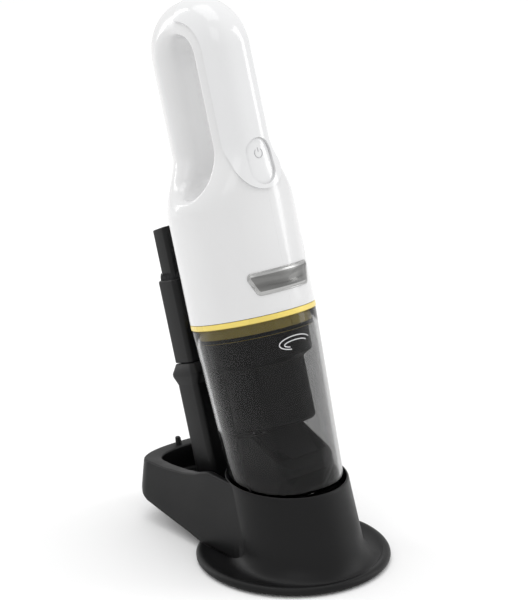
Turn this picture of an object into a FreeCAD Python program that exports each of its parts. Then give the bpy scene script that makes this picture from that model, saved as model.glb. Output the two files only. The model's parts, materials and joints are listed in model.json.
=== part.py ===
import FreeCAD, Part
import math
import os

# Cordless handheld vacuum standing in its table-top stand, with a crevice tool in the stand's holder.
# Millimetres. Origin: middle of the stand's flat underside. +Z up, -Y is the front, +X to the side.
# The vacuum leans back in the stand. Its own parts are drawn in its own axes: z along the
# vacuum from the joint between bin and motor unit, -y towards the button, and lean() places them.

V = FreeCAD.Vector

# ---------------------------------------------------------------- driving dimensions
LEAN_DEG = 18.0            # vacuum leans back from the vertical
JOINT_UP = 142.5           # from the table to the bin joint, measured along the vacuum
FOOT_Y = -9.85             # where the vacuum's axis meets the table

BODY_R = 35.5              # motor unit's round body
BODY_FROM = 1.8            # its lower edge
SHOULDER_FROM = 62.0       # round body ends, shoulder to the handle begins
SHOULDER_TO = 96.0
DOME_FROM = 148.0
HANDLE_TOP = 178.0
HANDLE_HALF_X = 18.6
HANDLE_FRONT = 34.0
HANDLE_REAR = 30.6
WALL = 1.8

HOLE_FRONT = -16.5         # finger hole, seen from the side
HOLE_REAR = 8.0
HOLE_FROM = 70.0
HOLE_TO = 160.0
PANEL_GAP = 4.5            # grip cover's edge outside the finger hole
PANEL_FROM = 69.0
BUTTON_HALF = 8.5
BUTTON_FROM = 71.5
BUTTON_TO = 97.0
BUTTON_THICK = 3.2
GAP = 0.35                 # running gap round moving parts

BIN_TOP_R = 35.2
BIN_LOW_R = 31.4
BIN_BOTTOM = -105.5
BIN_ROUND = 9.0
BIN_WALL = 2.0
BIN_RIM = -1.8

NOZZLE_HALF_X = 18.0
NOZZLE_HALF_Y = 10.5
NOZZLE_WALL = 2.0
NOZZLE_END = -128.0
DUCT_MOUTH_TOP = -65.5     # slanted mouth of the inlet duct inside the bin
DUCT_FRONT = -25.5
DUCT_REAR = 20.0
DUCT_TIP = -86.0
FLAP_RUN = 24.0
PIN_Y = 2.6                # inlet flap's hinge pin
PIN_UP = 1.3

FILTER_R = 23.0
FILTER_BOTTOM = -62.0
SEAL_INNER_R = 31.7
SEAL_SPAN = (-9.6, -7.6)

FLANGE_R = 55.0
PAD_THICK = 1.0
PLATE_THICK = 3.0
PLATE_R = 36.0
CUP_R = 33.8               # at its rim
CUP_FOOT_R = 35.3
CUP_BORE_R = 32.6
CUP_RIM = 48.5
SEAT = -105.9              # ledge that the bin stands on
HOLDER_APEX = 108.0

TOOL_Y = 53.0              # tool's axis behind the vacuum's
TOOL_TIP = 56.1
TOOL_NECK = -104.0
TOOL_HALF_X = 14.0
TOOL_HALF_Y = 6.2
TOOL_WALL = 1.5
SLEEVE_FROM = -21.7
SLEEVE_TO = 26.4
COLLAR_FROM = -34.4

CELL_R = 9.1
CELL_LENGTH = 50.0

LEAN = math.radians(LEAN_DEG)


# ---------------------------------------------------------------- helpers
def lean(shape):
    """Turns and moves a shape from the vacuum's own axes into the stand's."""
    placed = shape.copy()
    turn = FreeCAD.Rotation(V(1, 0, 0), -LEAN_DEG)
    up = V(0, FOOT_Y + JOINT_UP * math.sin(LEAN), JOINT_UP * math.cos(LEAN))
    placed.Placement = FreeCAD.Placement(up, turn).multiply(placed.Placement)
    return placed


def save(name, shape):
    """Writes one sub-part."""
    if not shape.isValid():
        print("not valid:", name)
    shape.exportStep("parts/" + name + ".step")


def group(solids):
    return Part.makeCompound(solids)


def disc(radius, low, high, x=0.0, y=0.0):
    return Part.makeCylinder(radius, high - low, V(x, y, low))


def tube(outer, inner, low, high):
    return disc(outer, low, high).cut(disc(inner, low - 1, high + 1))


def spun(points):
    """A solid turned round z from a closed outline of (radius, z) points."""
    corners = [V(r, 0, z) for r, z in points]
    face = Part.Face(Part.makePolygon(corners + [corners[0]]))
    return face.revolve(V(0, 0, 0), V(0, 0, 1), 360)


def bar(x_half, y_low, y_high, z_low, z_high):
    return Part.makeBox(2 * x_half, y_high - y_low, z_high - z_low, V(-x_half, y_low, z_low))


def rounded_wire(x_half, y_half, corner, z, y_mid=0.0):
    """A rectangle with arc corners, level at height z."""
    x, y = x_half - corner, y_half - corner
    quarter = corner * math.sqrt(0.5)
    edges = []
    for sx, sy in ((1, 1), (-1, 1), (-1, -1), (1, -1)):
        side_first = sx * sy > 0
        on_side = V(sx * x_half, y_mid + sy * y, z)
        on_end = V(sx * x, y_mid + sy * y_half, z)
        middle = V(sx * (x + quarter), y_mid + sy * (y + quarter), z)
        start, stop = (on_side, on_end) if side_first else (on_end, on_side)
        if edges:
            edges.append(Part.makeLine(edges[-1].Vertexes[-1].Point, start))
        edges.append(Part.Arc(start, middle, stop).toShape())
    edges.append(Part.makeLine(edges[-1].Vertexes[-1].Point, edges[0].Vertexes[0].Point))
    return Part.Wire(edges)


def rounded_bar(x_half, y_half, corner, low, high, y_mid=0.0):
    wire = rounded_wire(x_half, y_half, corner, low, y_mid)
    return Part.Face(wire).extrude(V(0, 0, high - low))


def side_prism(points, x_half):
    """An outline of (y, z) points carried across the part."""
    corners = [V(-x_half, y, z) for y, z in points]
    face = Part.Face(Part.makePolygon(corners + [corners[0]]))
    return face.extrude(V(2 * x_half, 0, 0))


def slot_along_x(y_low, y_high, z_low, z_high, x_half):
    """A prism across the part whose ends, low and high, are half circles."""
    r = (y_high - y_low) / 2
    mid = (y_high + y_low) / 2
    a, b = V(-x_half, y_low, z_low + r), V(-x_half, y_low, z_high - r)
    c, d = V(-x_half, y_high, z_high - r), V(-x_half, y_high, z_low + r)
    edges = [
        Part.makeLine(a, b),
        Part.Arc(b, V(-x_half, mid, z_high), c).toShape(),
        Part.makeLine(c, d),
        Part.Arc(d, V(-x_half, mid, z_low), a).toShape(),
    ]
    return Part.Face(Part.Wire(edges)).extrude(V(2 * x_half, 0, 0))


def slot_along_y(x_half, z_low, z_high, y_low, y_high):
    """The same prism turned to run front to back."""
    turned = slot_along_x(-x_half, x_half, z_low, z_high, (y_high - y_low) / 2)
    turned.rotate(V(0, 0, 0), V(0, 0, 1), 90)
    turned.translate(V(0, (y_low + y_high) / 2, 0))
    return turned


def ramp(value, low, high):
    """0 below low, 1 above high, smooth between."""
    t = min(max((value - low) / (high - low), 0.0), 1.0)
    return t * t * (3 - 2 * t)


# ---------------------------------------------------------------- stand
def stand_body():
    """One moulding: round flange, inclined cup with a ledge and a nozzle well, and tool holder."""
    flange = spun([
        (0, PAD_THICK), (FLANGE_R - 1.0, PAD_THICK), (FLANGE_R, 2.4), (FLANGE_R - 0.9, 4.4),
        (FLANGE_R - 3.2, 5.6), (FLANGE_R - 6.0, 5.2), (FLANGE_R - 8.0, 4.2), (44.0, 4.6),
        (41.0, 6.4), (0, 8.0),
    ])
    cup = cup_outside().common(Part.makeBox(200, 200, CUP_RIM - PAD_THICK, V(-100, -100, PAD_THICK)))
    holder = holder_block(HOLDER_OUTSIDE).common(side_prism([
        (-20, PAD_THICK), (30, 3.4), (42, 4.9), (92, 13.2), (97, 15.4), (99.5, 19.0), (112, 20.0),
        (112, 36.0), (80, 37.6), (61, 40.4), (50, 43.2), (42, 46.4), (36, 48.4), (-20, 48.4),
    ], 60))
    body = flange.fuse(cup).fuse(holder)
    pocket = lean(disc(CUP_BORE_R, SEAT, 0))
    well = lean(rounded_bar(NOZZLE_HALF_X + 2.5, NOZZLE_HALF_Y + 2.5, 5, NOZZLE_END - 2.5, SEAT + 1))
    body = body.cut(pocket).cut(well)
    inner = holder_block(HOLDER_INSIDE).common(side_prism([
        (10, 7.0), (44, 8.0), (90, 16.0), (96, 20), (112, 22), (112, 60), (10, 60)], 60))
    body = body.cut(inner.cut(cup_outside()))
    hollow = lean(disc(CUP_BORE_R, -175, SEAT - 3.0))
    hollow = hollow.common(Part.makeBox(200, 200, 60, V(-100, -100, 0)))
    keep = lean(rounded_bar(NOZZLE_HALF_X + 5, NOZZLE_HALF_Y + 5, 6, NOZZLE_END - 5, SEAT))
    hollow = hollow.cut(keep)
    body = body.cut(hollow).cut(disc(PLATE_R + 0.2, 0, PAD_THICK + PLATE_THICK))
    for at in SCREW_AT:
        body = body.fuse(disc(3.5, PAD_THICK + PLATE_THICK, 16, *at)).cut(disc(1.2, 0, 14, *at))
    spigot = lean(rounded_bar(8.0, 3.2, 2, TOOL_NECK - 22, TOOL_NECK + 22, TOOL_Y))
    spigot = spigot.common(side_prism([(10, 5.0), (44, 6.0), (90, 14.2), (90, 80), (10, 80)], 60))
    peg = Part.makeCone(2.0, 1.5, 5.2, V(0, HOLDER_APEX - 5.2, 35.5), V(0, 0.25, 1))
    body = body.fuse(spigot).fuse(peg)
    return body.removeSplitter()


SCREW_AT = [(25.0 * math.cos(math.radians(a)), 25.0 * math.sin(math.radians(a))) for a in (200, 270, 340)]


def cup_outside():
    """Inclined cone, a little wider at its foot."""
    foot, rim = -150.0, -80.0
    return lean(Part.makeCone(CUP_FOOT_R, CUP_R - 0.1, rim - foot, V(0, 0, foot)))


# Tool holder outlines: half width at the cup, half width at the end, the end's corner, its apex
HOLDER_OUTSIDE = (34.6, 34.6, 92.0, HOLDER_APEX + 1.8)
HOLDER_INSIDE = (32.0, 26.8, 86.0, HOLDER_APEX - 7.0)


def holder_outline(sizes, z):
    """Keyhole outline at one height, slightly narrower towards the top, starting beside the cup."""
    near, side, corner_y, apex = sizes
    near, side, apex = near - 0.02 * z, side - 0.1 * z, apex - 0.06 * z
    start_y = FOOT_Y + z * math.tan(LEAN)
    mid = V(side * 0.86, corner_y + (apex - corner_y) * 0.62, z)
    mirror = V(-mid.x, mid.y, z)
    end = Part.BSplineCurve()
    end.interpolate([V(side, corner_y, z), mid, V(0, apex, z), mirror, V(-side, corner_y, z)])
    return Part.Wire([
        Part.makeLine(V(near, start_y, z), V(side, corner_y, z)),
        end.toShape(),
        Part.makeLine(V(-side, corner_y, z), V(-near, start_y, z)),
        Part.makeLine(V(-near, start_y, z), V(near, start_y, z)),
    ])


def holder_block(sizes):
    return Part.makeLoft([holder_outline(sizes, 0.0), holder_outline(sizes, 60.0)], True, True)


def base_pad():
    return disc(FLANGE_R - 3.5, 0, PAD_THICK)


def ballast_plate():
    plate = disc(PLATE_R, PAD_THICK, PAD_THICK + PLATE_THICK)
    for at in SCREW_AT:
        plate = plate.cut(disc(1.7, 0, 10, *at)).cut(disc(3.2, PAD_THICK, PAD_THICK + 1.6, *at))
    return plate


def stand_screws():
    """Pan-head screws through the ballast plate into the stand's bosses."""
    low = PAD_THICK
    return group([disc(2.9, low, low + 1.5, *at).fuse(disc(1.15, low + 1.0, 12, *at)) for at in SCREW_AT])


# ---------------------------------------------------------------- bin and nozzle
def bin_outline(inset):
    """Half outline of the bin, from its rim to the middle of its floor, moved in by inset."""
    top, low = BIN_TOP_R - inset, BIN_LOW_R - inset
    floor = BIN_BOTTOM + inset
    turn = BIN_ROUND - inset * 0.6
    steps = 6
    points = [(top, BIN_RIM + (1 if inset else 0)), (low, floor + turn)]
    for i in range(1, steps + 1):
        a = math.radians(90 * i / steps)
        points.append((low - turn + turn * math.cos(a), floor + turn - turn * math.sin(a)))
    return points


def bin_shell():
    """Clear tapering cup with a rounded floor and a nozzle opening."""
    outer = bin_outline(0.0)
    inner = bin_outline(BIN_WALL)
    shell = spun(outer + [(0, BIN_BOTTOM), (0, BIN_RIM)])
    shell = shell.cut(spun(inner + [(0, BIN_BOTTOM + BIN_WALL), (0, BIN_RIM + 1)]))
    return shell.cut(rounded_bar(NOZZLE_HALF_X, NOZZLE_HALF_Y, 5, BIN_BOTTOM - 2, BIN_BOTTOM + 5))


def duct_roof(lift):
    """The space above the duct's slanted mouth, raised by lift along the vacuum."""
    tip, top = DUCT_TIP + lift, DUCT_MOUTH_TOP + lift
    return side_prism([(-60, tip - 28), (DUCT_FRONT, tip), (0, top), (60, top), (60, 40), (-60, 40)], 60)


def inlet_duct():
    """Nozzle spout below the bin floor, opening out into a duct with a slanted mouth inside it."""
    low = BIN_BOTTOM + BIN_WALL
    spout = rounded_bar(NOZZLE_HALF_X, NOZZLE_HALF_Y, 5, NOZZLE_END, low + 1)
    mid_y = (DUCT_FRONT + DUCT_REAR) / 2
    half_y = (DUCT_REAR - DUCT_FRONT) / 2
    y_turn = [
        rounded_wire(NOZZLE_HALF_X, NOZZLE_HALF_Y + 1.5, 6, low),
        rounded_wire(19.0, half_y, 9, DUCT_TIP - 4, mid_y),
        rounded_wire(19.0, half_y, 9, DUCT_MOUTH_TOP + 2, mid_y),
    ]
    y_turn_inner = [
        rounded_wire(NOZZLE_HALF_X - NOZZLE_WALL, NOZZLE_HALF_Y - NOZZLE_WALL, 3, low),
        rounded_wire(19.0 - NOZZLE_WALL, half_y - NOZZLE_WALL, 7, DUCT_TIP - 4, mid_y),
        rounded_wire(19.0 - NOZZLE_WALL, half_y - NOZZLE_WALL, 7, DUCT_MOUTH_TOP + 2, mid_y),
    ]
    body = Part.makeLoft(y_turn, True, True).fuse(spout)
    hollow = Part.makeLoft(y_turn_inner, True, True)
    hollow = hollow.cut(bar(30, -60, -18.5, DUCT_TIP - 6, 0))
    bore = rounded_bar(NOZZLE_HALF_X - NOZZLE_WALL, NOZZLE_HALF_Y - NOZZLE_WALL, 3, NOZZLE_END - 1, low)
    lid = bar(30, 0, 40, DUCT_MOUTH_TOP - NOZZLE_WALL, DUCT_MOUTH_TOP + 5)
    body = body.cut(hollow.cut(lid)).cut(bore).cut(duct_roof(0))
    for x in (-12.0, 12.0):
        lug = bar(2.0, PIN_Y - 1.6, PIN_Y + 1.6, DUCT_MOUTH_TOP - 1.0, DUCT_MOUTH_TOP + PIN_UP + 1.0)
        lug.translate(V(x, 0, 0))
        body = body.fuse(lug)
    return body.cut(flap_pin())


def across_pin(radius, x_half):
    return Part.makeCylinder(radius, 2 * x_half, V(-x_half, PIN_Y, DUCT_MOUTH_TOP + PIN_UP), V(1, 0, 0))


def flap_pin():
    return across_pin(0.5, 14.8)


def inlet_flap():
    """Thin tapering flap that rests over the duct's slanted mouth and hangs from its pin."""
    outline = [V(-16, 0, 0), V(16, 0, 0), V(9.5, -FLAP_RUN, 0), V(-9.5, -FLAP_RUN, 0)]
    plate = Part.Face(Part.makePolygon(outline + [outline[0]])).extrude(V(0, 0, 0.9))
    slope = math.degrees(math.atan2(DUCT_MOUTH_TOP - DUCT_TIP, -DUCT_FRONT))
    plate.translate(V(0, -1.2, 0.35))
    plate.rotate(V(0, 0, 0), V(1, 0, 0), slope)
    plate.translate(V(0, 0, DUCT_MOUTH_TOP))
    top = DUCT_MOUTH_TOP
    web = side_prism([(-3.0, top - 1.9), (-1.2, top - 0.4), (-0.2, top + 0.4), (PIN_Y, top + 0.4),
                      (PIN_Y, top + PIN_UP), (-1.2, top + PIN_UP), (-3.0, top - 1.1)], 9.0)
    return plate.fuse(web).fuse(across_pin(0.9, 9.0)).cut(across_pin(0.55, 12.0))


def nozzle_seal():
    """Soft collar round the spout where it passes through the bin floor."""
    low = BIN_BOTTOM - 1.6
    ring = rounded_bar(NOZZLE_HALF_X + 1.6, NOZZLE_HALF_Y + 1.6, 6, low, BIN_BOTTOM)
    return ring.cut(rounded_bar(NOZZLE_HALF_X, NOZZLE_HALF_Y, 5, low - 1, BIN_BOTTOM + 1))


# ---------------------------------------------------------------- filter unit
def filter_carrier():
    """Yellow ring that shows at the joint, with a skirt and three catches inside the bin's mouth."""
    ring = spun([(26.0, -10.0), (32.3, -10.0), (32.5, -1.5), (BODY_R, -1.5), (BODY_R, 1.5), (26.0, 1.5)])
    for turn in (4, 124, 244):
        catch = Part.makeBox(5.5, 1.2, 4.6, V(-2.75, -32.55, -6.6))
        catch.rotate(V(0, 0, 0), V(0, 0, 1), turn)
        ring = ring.fuse(catch)
    return ring.cut(tube(34.0, SEAL_INNER_R, *SEAL_SPAN))


def bin_seal():
    """Rubber ring on the carrier's skirt."""
    return tube(32.55, SEAL_INNER_R, *SEAL_SPAN)


def filter_housing():
    """Dark upper part of the filter, with the outlet to the motor through its middle."""
    return spun([
        (17.0, 1.2), (17.0, -24.0), (FILTER_R - 5.0, -27.0), (FILTER_R + 0.4, -27.0), (28.5, -24.0),
        (29.2, -10.2), (25.8, -10.2), (25.8, 1.2),
    ])


def filter_pleats():
    """Folded paper cylinder."""
    folds, outer, inner = 36, FILTER_R - 1.2, FILTER_R - 5.2
    points = []
    for i in range(folds * 2):
        a = math.pi * i / folds
        r = outer if i % 2 == 0 else inner
        points.append(V(r * math.cos(a), r * math.sin(a), FILTER_BOTTOM + 3))
    face = Part.Face(Part.makePolygon(points + [points[0]]))
    core = disc(inner - 1.4, FILTER_BOTTOM + 3, -27.5)
    return face.extrude(V(0, 0, -27.4 - FILTER_BOTTOM - 3)).cut(core)


def filter_sleeve():
    """Thin mesh tube over the pleats."""
    return tube(FILTER_R, FILTER_R - 0.8, FILTER_BOTTOM + 1.5, -27.2)


def filter_cap():
    """Closed lower end of the filter."""
    return spun([(0, FILTER_BOTTOM), (FILTER_R - 1.0, FILTER_BOTTOM), (FILTER_R, FILTER_BOTTOM + 1.4),
                 (FILTER_R - 0.9, FILTER_BOTTOM + 1.4), (FILTER_R - 0.9, FILTER_BOTTOM + 2.9),
                 (0, FILTER_BOTTOM + 2.9)])


# ---------------------------------------------------------------- motor unit shells
def handle_section(z, inset):
    """One level outline of the motor unit: a circle low down, an egg-like handle higher up."""
    q = ramp(z, SHOULDER_FROM, SHOULDER_TO)
    half_x = BODY_R + (HANDLE_HALF_X - BODY_R) * q
    half_y = BODY_R + ((HANDLE_FRONT + HANDLE_REAR) / 2 - BODY_R) * q
    centre = (HANDLE_REAR - HANDLE_FRONT) / 2 * q
    narrow = -1.4 * q
    power = 2.0 + 0.6 * q
    if z > DOME_FROM:
        t = (z - DOME_FROM) / (HANDLE_TOP - max(inset, 0.0) - DOME_FROM)
        shrink = math.sqrt(max(1.0 - t * t, 0.0))
        half_y = half_y * shrink
        half_x = half_x * shrink ** 0.8
        centre = centre * shrink
    half_x = half_x - inset
    half_y = half_y - inset
    points = []
    count = 28
    for i in range(count):
        a = 2 * math.pi * i / count
        ca, sa = math.cos(a), math.sin(a)
        x = math.copysign(abs(sa) ** (2 / power), sa) * (half_x + narrow * ca)
        y = centre - math.copysign(abs(ca) ** (2 / power), ca) * half_y
        points.append(V(x, y, z))
    curve = Part.BSplineCurve()
    curve.interpolate(points, PeriodicFlag=True)
    return Part.Wire([curve.toShape()])


def handle_solid(inset):
    """Outside of the motor unit without its finger hole, or the space inside its wall."""
    low = BODY_FROM - (1.0 if inset else 0.0)
    base = SHOULDER_FROM - 4.0
    levels = [low] + [base + 4.0 * i for i in range(28)]
    levels = levels + [169.5, 172.5, 175.0, HANDLE_TOP - 1.0 - max(inset, 0.0)]
    return Part.makeLoft([handle_section(z, inset) for z in levels], True, True)


def finger_hole(grow):
    return slot_along_x(HOLE_FRONT - grow, HOLE_REAR + grow, HOLE_FROM - grow, HOLE_TO + grow, 60)


def panel_zone(grow):
    """Space of the grip cover: the front of the handle and the top of its arch."""
    front = slot_along_y(15.0 + grow, PANEL_FROM - grow, 210, -60, 12)
    low = bar(60, -60, -2 + grow, 60, 210)
    return front.common(low).cut(finger_hole(PANEL_GAP - grow))


def button_zone(grow):
    return slot_along_y(BUTTON_HALF + grow, BUTTON_FROM - grow, BUTTON_TO + grow, -60, -18)


def motor_unit_shells():
    """Left and right housing, grip cover and power button, cut from one hollow form."""
    outer = handle_solid(0.0)
    inner = handle_solid(WALL)
    hole = finger_hole(0.0)
    cavity = inner.cut(finger_hole(WALL))
    shell = outer.cut(hole).cut(cavity)
    cover = shell.common(panel_zone(0.0)).cut(button_zone(GAP))
    housing = shell.cut(panel_zone(0.0))
    for name_turn in VENT_ANGLES:
        slot = Part.makeBox(10, 2.0, 16, V(30, -1.0, 26))
        slot.rotate(V(0, 0, 0), V(0, 0, 1), name_turn)
        housing = housing.cut(slot)
    housing = housing.cut(port_opening(0.4))
    left = housing.common(Part.makeBox(60, 120, 240, V(-60, -60, -10)))
    right = housing.common(Part.makeBox(60, 120, 240, V(0, -60, -10)))
    deep = handle_solid(BUTTON_THICK)
    button = outer.cut(deep).common(button_zone(0.0))
    return left, right, cover, button


VENT_ANGLES = [90 + step * 7.0 for step in (-5, -4, -3, -2, 2, 3, 4, 5)]


def port_opening(grow):
    """Opening in the rear of the handle for the charging socket, round at its lower end."""
    half, low, high = 5.5 + grow, 84.0 - grow, 99.0 + grow
    return slot_along_y(half, low, high, 20, 60).fuse(bar(half, 20, 60, 92, high))


def port_cover():
    """Cover of the charging socket, with a knuckle at its top and a finger lip at its lower end."""
    pin_y, pin_up, pin_r, half = 29.75, 98.3, 0.7, 5.5
    shell = handle_solid(0.0).cut(handle_solid(1.4))
    plug = shell.common(port_opening(0.0)).cut(bar(20, 20, 60, pin_up, 110))
    knuckle = Part.makeCylinder(pin_r, 2 * half, V(-half, pin_y, pin_up), V(1, 0, 0))
    lip = bar(10.0, 29.6, 32.0, 86.6, 88.4).cut(handle_solid(-0.35))
    root = bar(4.5, 29.6, 31.4, 86.6, 88.4)
    return plug.fuse(knuckle).fuse(lip).fuse(root)


def charging_socket():
    body = slot_along_y(4.2, 86.4, 96.8, 17.5, 28.4)
    return body.cut(slot_along_y(3.2, 87.4, 95.8, 20, 30))


def badge_plate():
    """Blank metal plate, wider at the top, curved round the body."""
    ring = tube(BODY_R + 0.5, BODY_R, 12.5, 25.6)
    corners = [V(-17.2, -50, 12.5), V(17.2, -50, 12.5), V(22.4, -50, 25.6), V(-22.4, -50, 25.6)]
    face = Part.Face(Part.makePolygon(corners + [corners[0]]))
    return ring.common(face.extrude(V(0, 50, 0)))


# ---------------------------------------------------------------- motor unit inside
def intake_grille():
    """Lower end of the motor unit: a plate with a spoked air intake, clamped between the shells."""
    plate = tube(BODY_R - WALL - 0.1, 13.0, 2.2, 4.6)
    spokes = [bar(13.5, -0.9, 0.9, 2.4, 4.4) for _ in range(3)]
    for i, spoke in enumerate(spokes):
        spoke.rotate(V(0, 0, 0), V(0, 0, 1), 60 * i)
        plate = plate.fuse(spoke)
    return plate


def fan_shroud():
    """Cover over the impeller with a central eye."""
    return spun([(9.0, 4.6), (30.0, 4.6), (30.0, 17.0), (28.4, 17.0), (28.4, 6.0), (9.0, 6.0)])


def impeller():
    """Back plate, hub and curved vanes."""
    wheel = tube(26.0, 1.0, 14.2, 15.4).fuse(tube(4.5, 1.0, 7.0, 15.4))
    for i in range(9):
        ring = tube(16.5, 15.5, 8.2, 14.3)
        ring.translate(V(12.0, 0, 0))
        vane = ring.common(Part.makeBox(40, 40, 20, V(-5, 1.0, 0))).common(tube(25.5, 5.0, 8.0, 15.0))
        vane.rotate(V(0, 0, 0), V(0, 0, 1), 40 * i)
        wheel = wheel.fuse(vane)
    return wheel


def fan_nut():
    nut = Part.Face(Part.makePolygon([V(3.0 * math.cos(math.radians(60 * i)),
                                        3.0 * math.sin(math.radians(60 * i)), 5.2)
                                      for i in range(7)])).extrude(V(0, 0, 1.8))
    return nut.cut(disc(1.0, 0, 10))


def motor_shaft():
    return disc(1.0, 5.0, 47.6)


def diffuser():
    """Fixed vanes behind the impeller that straighten the air."""
    ring = tube(30.0, 6.0, 17.0, 18.4)
    for i in range(8):
        window = bar(3.0, 18.5, 26.5, 16, 20)
        window.rotate(V(0, 0, 0), V(0, 0, 1), 45 * i)
        ring = ring.cut(window)
    return ring


def motor_can():
    can = disc(14.5, 19.0, 45.0).fuse(disc(4.0, 18.4, 47.0))
    return can.cut(disc(1.05, 18, 50))


def motor_mount(low, high):
    return tube(17.5, 14.5, low, high)


def motor_cradle():
    """Spider that holds the motor's rubber rings in the shells."""
    ring = tube(19.5, 17.5, 20.0, 44.0)
    for i in range(6):
        arm = Part.makeBox(14.0, 2.0, 20.0, V(19.0, -1.0, 20.0))
        arm.rotate(V(0, 0, 0), V(0, 0, 1), 60 * i + 30)
        ring = ring.fuse(arm.common(disc(BODY_R - WALL - 0.1, 0, 60)))
    return ring


def lower_cell():
    """Battery cell lying across the body above the motor."""
    return Part.makeCylinder(CELL_R, CELL_LENGTH, V(-CELL_LENGTH / 2, 0, 57.6), V(1, 0, 0))


def upper_cell():
    """Battery cell standing in the rear bar of the handle."""
    return disc(CELL_R, 101.5, 101.5 + CELL_LENGTH, 0, UPPER_CELL_Y)


UPPER_CELL_Y = 19.3


def cell_cradle():
    """Tray under the lower cell."""
    tray = bar(24.0, -11.0, 11.0, 48.0, 56.0)
    return tray.cut(Part.makeCylinder(CELL_R + 0.05, 60, V(-30, 0, 57.6), V(1, 0, 0)))


def cell_tabs():
    """Spring contacts at the ends of the cells."""
    ends = [Part.makeBox(0.6, 7, 7, V(side * (CELL_LENGTH / 2 + 0.3) - 0.3, -3.5, 54.1)) for side in (-1, 1)]
    ends.append(bar(3.5, UPPER_CELL_Y - 3.5, UPPER_CELL_Y + 3.5, 100.8, 101.5))
    ends.append(bar(3.5, UPPER_CELL_Y - 3.5, UPPER_CELL_Y + 3.5, 151.5, 152.1))
    return group(ends)


def control_board():
    """Circuit board behind the power button."""
    return bar(8.0, -25.0, -23.4, 72.0, 128.0)


def button_switch():
    """Push switch on the board, under the button."""
    return bar(3.2, -28.0, -25.0, 81.5, 87.5)


def status_light():
    return bar(1.4, -26.6, -25.0, 92.0, 95.0)


def shell_screws():
    """Screws that pull the two shells together, driven from the side."""
    places = ((24.0, 66.0), (-24.0, 66.0), (26.0, 45.0), (19.0, 164.0))
    return group([Part.makeCylinder(1.5, 9.0, V(-4.5, y, z), V(1, 0, 0)) for y, z in places])


# ---------------------------------------------------------------- crevice tool
def crevice_tube():
    """Flat tube with a slanted open mouth at the top and a wider neck below."""
    outer = rounded_bar(TOOL_HALF_X, TOOL_HALF_Y, 2.5, COLLAR_FROM + 5, TOOL_TIP + 3, TOOL_Y)
    collar = Part.makeLoft([
        rounded_wire(17.0, 9.8, 3, COLLAR_FROM, TOOL_Y), rounded_wire(18.2, 12.4, 3, -29.6, TOOL_Y),
        rounded_wire(18.2, 12.4, 3, -28.0, TOOL_Y), rounded_wire(16.0, 8.6, 3, SLEEVE_FROM - 0.6, TOOL_Y),
    ], True, True)
    neck = rounded_bar(17.0, 9.8, 3.5, TOOL_NECK, COLLAR_FROM + 1, TOOL_Y)
    body = outer.fuse(collar).fuse(neck)
    body = body.cut(rounded_bar(TOOL_HALF_X - TOOL_WALL, TOOL_HALF_Y - TOOL_WALL, 1.2,
                                COLLAR_FROM, 80, TOOL_Y))
    body = body.cut(rounded_bar(15.2, 8.0, 2.5, TOOL_NECK - 1, COLLAR_FROM + 0.5, TOOL_Y))
    slant = side_prism([(TOOL_Y - 20, TOOL_TIP + 2.6), (TOOL_Y - 20, 90), (TOOL_Y + 20, 90),
                        (TOOL_Y + 20, TOOL_TIP - 2.6)], 30)
    return body.cut(slant)


def brush_sleeve():
    """Sliding sleeve that carries the brush."""
    sleeve = rounded_bar(16.2, 8.6, 3.5, SLEEVE_FROM, SLEEVE_TO, TOOL_Y)
    sleeve = sleeve.cut(rounded_bar(TOOL_HALF_X + 0.3, TOOL_HALF_Y + 0.3, 2.7, SLEEVE_FROM - 5, 32, TOOL_Y))
    return sleeve.cut(catch_zone(GAP))


def catch_zone(grow):
    return slot_along_y(5.0 + grow, -6.0 - grow, 14.0 + grow, TOOL_Y + 7.1, TOOL_Y + 20)


def brush_catch():
    """Thumb catch that frees the sleeve."""
    return slot_along_y(5.0, -6.0, 14.0, TOOL_Y + 7.6, TOOL_Y + 9.8)


def brush_bristles():
    """Bristles round the sleeve's upper edge."""
    band = rounded_bar(15.6, 8.0, 3.2, SLEEVE_TO, SLEEVE_TO + 4.0, TOOL_Y)
    return band.cut(rounded_bar(TOOL_HALF_X + 0.4, TOOL_HALF_Y + 0.4, 2.8, 20, 40, TOOL_Y))


# ---------------------------------------------------------------- build
def main():
    os.makedirs("parts", exist_ok=True)
    save("stand_body", stand_body())
    save("base_pad", base_pad())
    save("ballast_plate", ballast_plate())
    save("stand_screws", stand_screws())

    left, right, cover, button = motor_unit_shells()
    leaning = {
        "bin_shell": bin_shell(),
        "inlet_duct": inlet_duct(),
        "nozzle_seal": nozzle_seal(),
        "flap_pin": flap_pin(),
        "inlet_flap": inlet_flap(),
        "filter_carrier": filter_carrier(),
        "bin_seal": bin_seal(),
        "filter_housing": filter_housing(),
        "filter_pleats": filter_pleats(),
        "filter_sleeve": filter_sleeve(),
        "filter_cap": filter_cap(),
        "housing_left": left,
        "housing_right": right,
        "grip_cover": cover,
        "power_button": button,
        "port_cover": port_cover(),
        "charging_socket": charging_socket(),
        "badge_plate": badge_plate(),
        "intake_grille": intake_grille(),
        "fan_shroud": fan_shroud(),
        "impeller": impeller(),
        "fan_nut": fan_nut(),
        "motor_shaft": motor_shaft(),
        "diffuser": diffuser(),
        "motor_can": motor_can(),
        "motor_mount_front": motor_mount(20.0, 25.0),
        "motor_mount_rear": motor_mount(39.0, 44.0),
        "motor_cradle": motor_cradle(),
        "battery_cell_lower": lower_cell(),
        "battery_cell_upper": upper_cell(),
        "cell_cradle": cell_cradle(),
        "cell_tabs": cell_tabs(),
        "control_board": control_board(),
        "button_switch": button_switch(),
        "status_light": status_light(),
        "shell_screws": shell_screws(),
        "crevice_tube": crevice_tube(),
        "brush_sleeve": brush_sleeve(),
        "brush_catch": brush_catch(),
        "brush_bristles": brush_bristles(),
    }
    for name, shape in leaning.items():
        save(name, lean(shape))


main()
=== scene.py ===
import json
import math

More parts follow.
